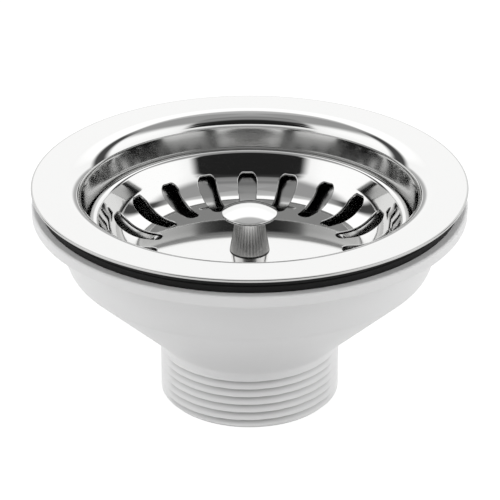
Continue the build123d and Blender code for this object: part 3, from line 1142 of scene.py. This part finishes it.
# Its other parts, by bearing from the front and height over the horizon
SIDE_FRONT_EDGE, SIDE_BACK_EDGE = from_degrees(40, 50), from_degrees(136, 124)
SIDE_TOP_EDGE = from_degrees(54, 36)
SIDE_RISE = [0.5, 0.85]
SIDE_LEVEL, SIDE_GAIN, SIDE_HIGH_LEVEL = 0.72, 0.25, 0.42
FLAG_BEARING = radians(120)
FLAG_EDGE, FLAG_TOP_EDGE = from_degrees(4, 14), from_degrees(46, 56)
FLAG_LEVEL = 0.08
CARD_HALF_WIDTH, CARD_MIDDLE, CARD_HALF_HEIGHT = from_degrees(47, 22, 22)
CARD_EDGE = [0.86, 1.06]
CARD_FOOT_EDGE = from_degrees(22, 19.5)
CARD_LEVEL = 0.02

# Floor, lamps and camera; in metres, but the gap under the object, lens and sensor in millimetres
FLOOR_SIZE = 8.0
FLOOR_GAP = 0.02
FLOOR_PAINT = (0.74, 0.74, 0.74, 1)
FLOOR_GLOW = 1.25
SHADOW_SHARE = 0.25
WHITE = (1, 1, 1, 1)
LAMP_SIZE, LAMP_POWER, LAMP_DISTANCE = 0.5, 1.9, 1.2
LAMP_BEARING, LAMP_HEIGHT = from_degrees(65, 33)
CAMERA_LENS, SENSOR_WIDTH, CAMERA_SHIFT = 181.96, 36, 0.0007
CAMERA_PLACE = (0, -0.5985, 0.3388)
CAMERA_PITCH = radians(63.53)


def empty_tree(owner):
    """Cleared node tree of a world or a material."""
    owner.use_nodes = True
    owner.node_tree.nodes.clear()
    return owner.node_tree


def smooth_step(value, edge):
    """0 at an edge's first value and beyond it, 1 at its second, smooth between them."""
    return ramp(value, *edge, interpolation_type="SMOOTHSTEP")


def between(share, first, second):
    """First value where a share is 0, second where it is 1."""
    return first_of(share.id_data, "ShaderNodeMix", {0: share, 2: first, 3: second})


def arch_level(height, depth):
    """Brightness over the arch, from the upward and the forward part of a direction."""
    angle = calc("DIVIDE", calc("ARCTAN2", height, depth), pi)
    levels = add(angle.id_data, "ShaderNodeValToRGB", {"Fac": angle})
    stops = levels.color_ramp.elements
    for _ in range(len(ARCH) - len(stops)):
        stops.new(0.5)
    for stop, (degrees, level) in zip(stops, ARCH):
        stop.position = degrees / 180
        stop.color = (*[level / ARCH_PEAK] * 3, 1)
    return calc("MULTIPLY", levels.outputs["Color"], ARCH_PEAK)


def side_level(sideways, height):
    """Brightness of the sides: bright up to a height, and the more so straight sideways."""
    rise = smooth_step(calc("ABSOLUTE", sideways), SIDE_RISE)
    bright = calc("MULTIPLY_ADD", rise, SIDE_GAIN, SIDE_LEVEL)
    low = smooth_step(height, SIDE_TOP_EDGE)
    return calc("MULTIPLY_ADD", low, bright, SIDE_HIGH_LEVEL)


def beside_arch(bearing):
    """1 at the sides, 0 where the arch is seen in front and behind."""
    past_front = smooth_step(bearing, SIDE_FRONT_EDGE)
    before_back = smooth_step(bearing, SIDE_BACK_EDGE)
    return calc("MULTIPLY", past_front, before_back)


def off_flags(bearing, height):
    """0 on the dark flags at the back quarters, 1 off them."""
    from_flag = calc("ABSOLUTE", calc("SUBTRACT", bearing, FLAG_BEARING))
    above_flag = smooth_step(height, FLAG_TOP_EDGE)
    return calc("MAXIMUM", smooth_step(from_flag, FLAG_EDGE), above_flag)


def off_card(bearing, height):
    """0 on the dark card in front, which is half an ellipse, and 1 off it."""
    across = calc("DIVIDE", bearing, CARD_HALF_WIDTH)
    upwards = calc("DIVIDE", calc("SUBTRACT", height, CARD_MIDDLE), CARD_HALF_HEIGHT)
    past_card = smooth_step(radius_of(across, upwards), CARD_EDGE)
    under_card = smooth_step(height, CARD_FOOT_EDGE)
    return calc("MAXIMUM", past_card, under_card)


def studio_world():
    """Surround by direction, as the object sees it; the camera sees it white."""
    world = bpy.data.worlds.new("studio")
    bpy.context.scene.world = world
    tree = empty_tree(world)
    x, y, z = parts_of(add(tree, "ShaderNodeTexCoord").outputs["Generated"])
    forward = calc("MULTIPLY", y, -1.0)
    height = calc("ARCSINE", z)
    bearing = calc("ABSOLUTE", calc("ARCTAN2", x, forward))
    sides = side_level(x, height)
    level = between(beside_arch(bearing), arch_level(z, forward), sides)
    level = between(off_flags(bearing, height), FLAG_LEVEL, level)
    level = between(off_card(bearing, height), CARD_LEVEL, level)
    seen = add(tree, "ShaderNodeLightPath").outputs["Is Camera Ray"]
    strength = between(seen, level, 1.0)
    sky = first_of(tree, "ShaderNodeBackground", {"Color": WHITE, "Strength": strength})
    add(tree, "ShaderNodeOutputWorld", {"Surface": sky})


def floor_paint():
    """Paint that looks white to the camera and in the steel, and still shows the object's shadow."""
    material = bpy.data.materials.new("white floor")
    tree = empty_tree(material)
    paint = first_of(tree, "ShaderNodeBsdfDiffuse", {"Color": FLOOR_PAINT})
    glow = first_of(tree, "ShaderNodeEmission", {"Color": WHITE, "Strength": FLOOR_GLOW})
    white = first_of(tree, "ShaderNodeMixShader", {0: SHADOW_SHARE, 1: glow, 2: paint})
    rays = add(tree, "ShaderNodeLightPath").outputs
    mirrored = calc("MAXIMUM", rays["Is Glossy Ray"], rays["Is Transmission Ray"])
    seen = calc("MAXIMUM", rays["Is Camera Ray"], mirrored)
    surface = first_of(tree, "ShaderNodeMixShader", {0: seen, 1: paint, 2: white})
    add(tree, "ShaderNodeOutputMaterial", {"Surface": surface})
    return material


def white_floor():
    """Large floor just under the object."""
    bm = bmesh.new()
    under = Matrix.Translation((0, 0, -FLOOR_GAP * MM))
    bmesh.ops.create_grid(bm, x_segments=1, y_segments=1, size=FLOOR_SIZE / 2, matrix=under)
    floor = new_piece(bm, "floor")
    floor.data.materials.append(floor_paint())


def side_lamp(side):
    """Broad lamp at a front quarter, kept out of the steel's mirror image."""
    data = bpy.data.lights.new("side lamp", "AREA")
    data.size = LAMP_SIZE
    data.energy = LAMP_POWER
    lamp = bpy.data.objects.new("side lamp", data)
    sideways = sin(LAMP_BEARING * side) * cos(LAMP_HEIGHT)
    forward = cos(LAMP_BEARING * side) * cos(LAMP_HEIGHT)
    direction = Vector((sideways, -forward, sin(LAMP_HEIGHT)))
    lamp.location = direction * LAMP_DISTANCE
    lamp.rotation_euler = direction.to_track_quat("Z", "Y").to_euler()
    lamp.visible_glossy = False
    bpy.context.scene.collection.objects.link(lamp)


def photo_camera():
    """Camera in front and above, with a long lens."""
    data = bpy.data.cameras.new("camera")
    data.lens = CAMERA_LENS
    data.sensor_width = SENSOR_WIDTH
    data.shift_x = CAMERA_SHIFT
    camera = bpy.data.objects.new("camera", data)
    camera.location = CAMERA_PLACE
    camera.rotation_euler = (CAMERA_PITCH, 0, 0)
    bpy.context.scene.collection.objects.link(camera)
    bpy.context.scene.camera = camera


studio_world()
white_floor()
side_lamp(-1)
side_lamp(1)
photo_camera()
bpy.context.scene.view_settings.view_transform = "Standard"
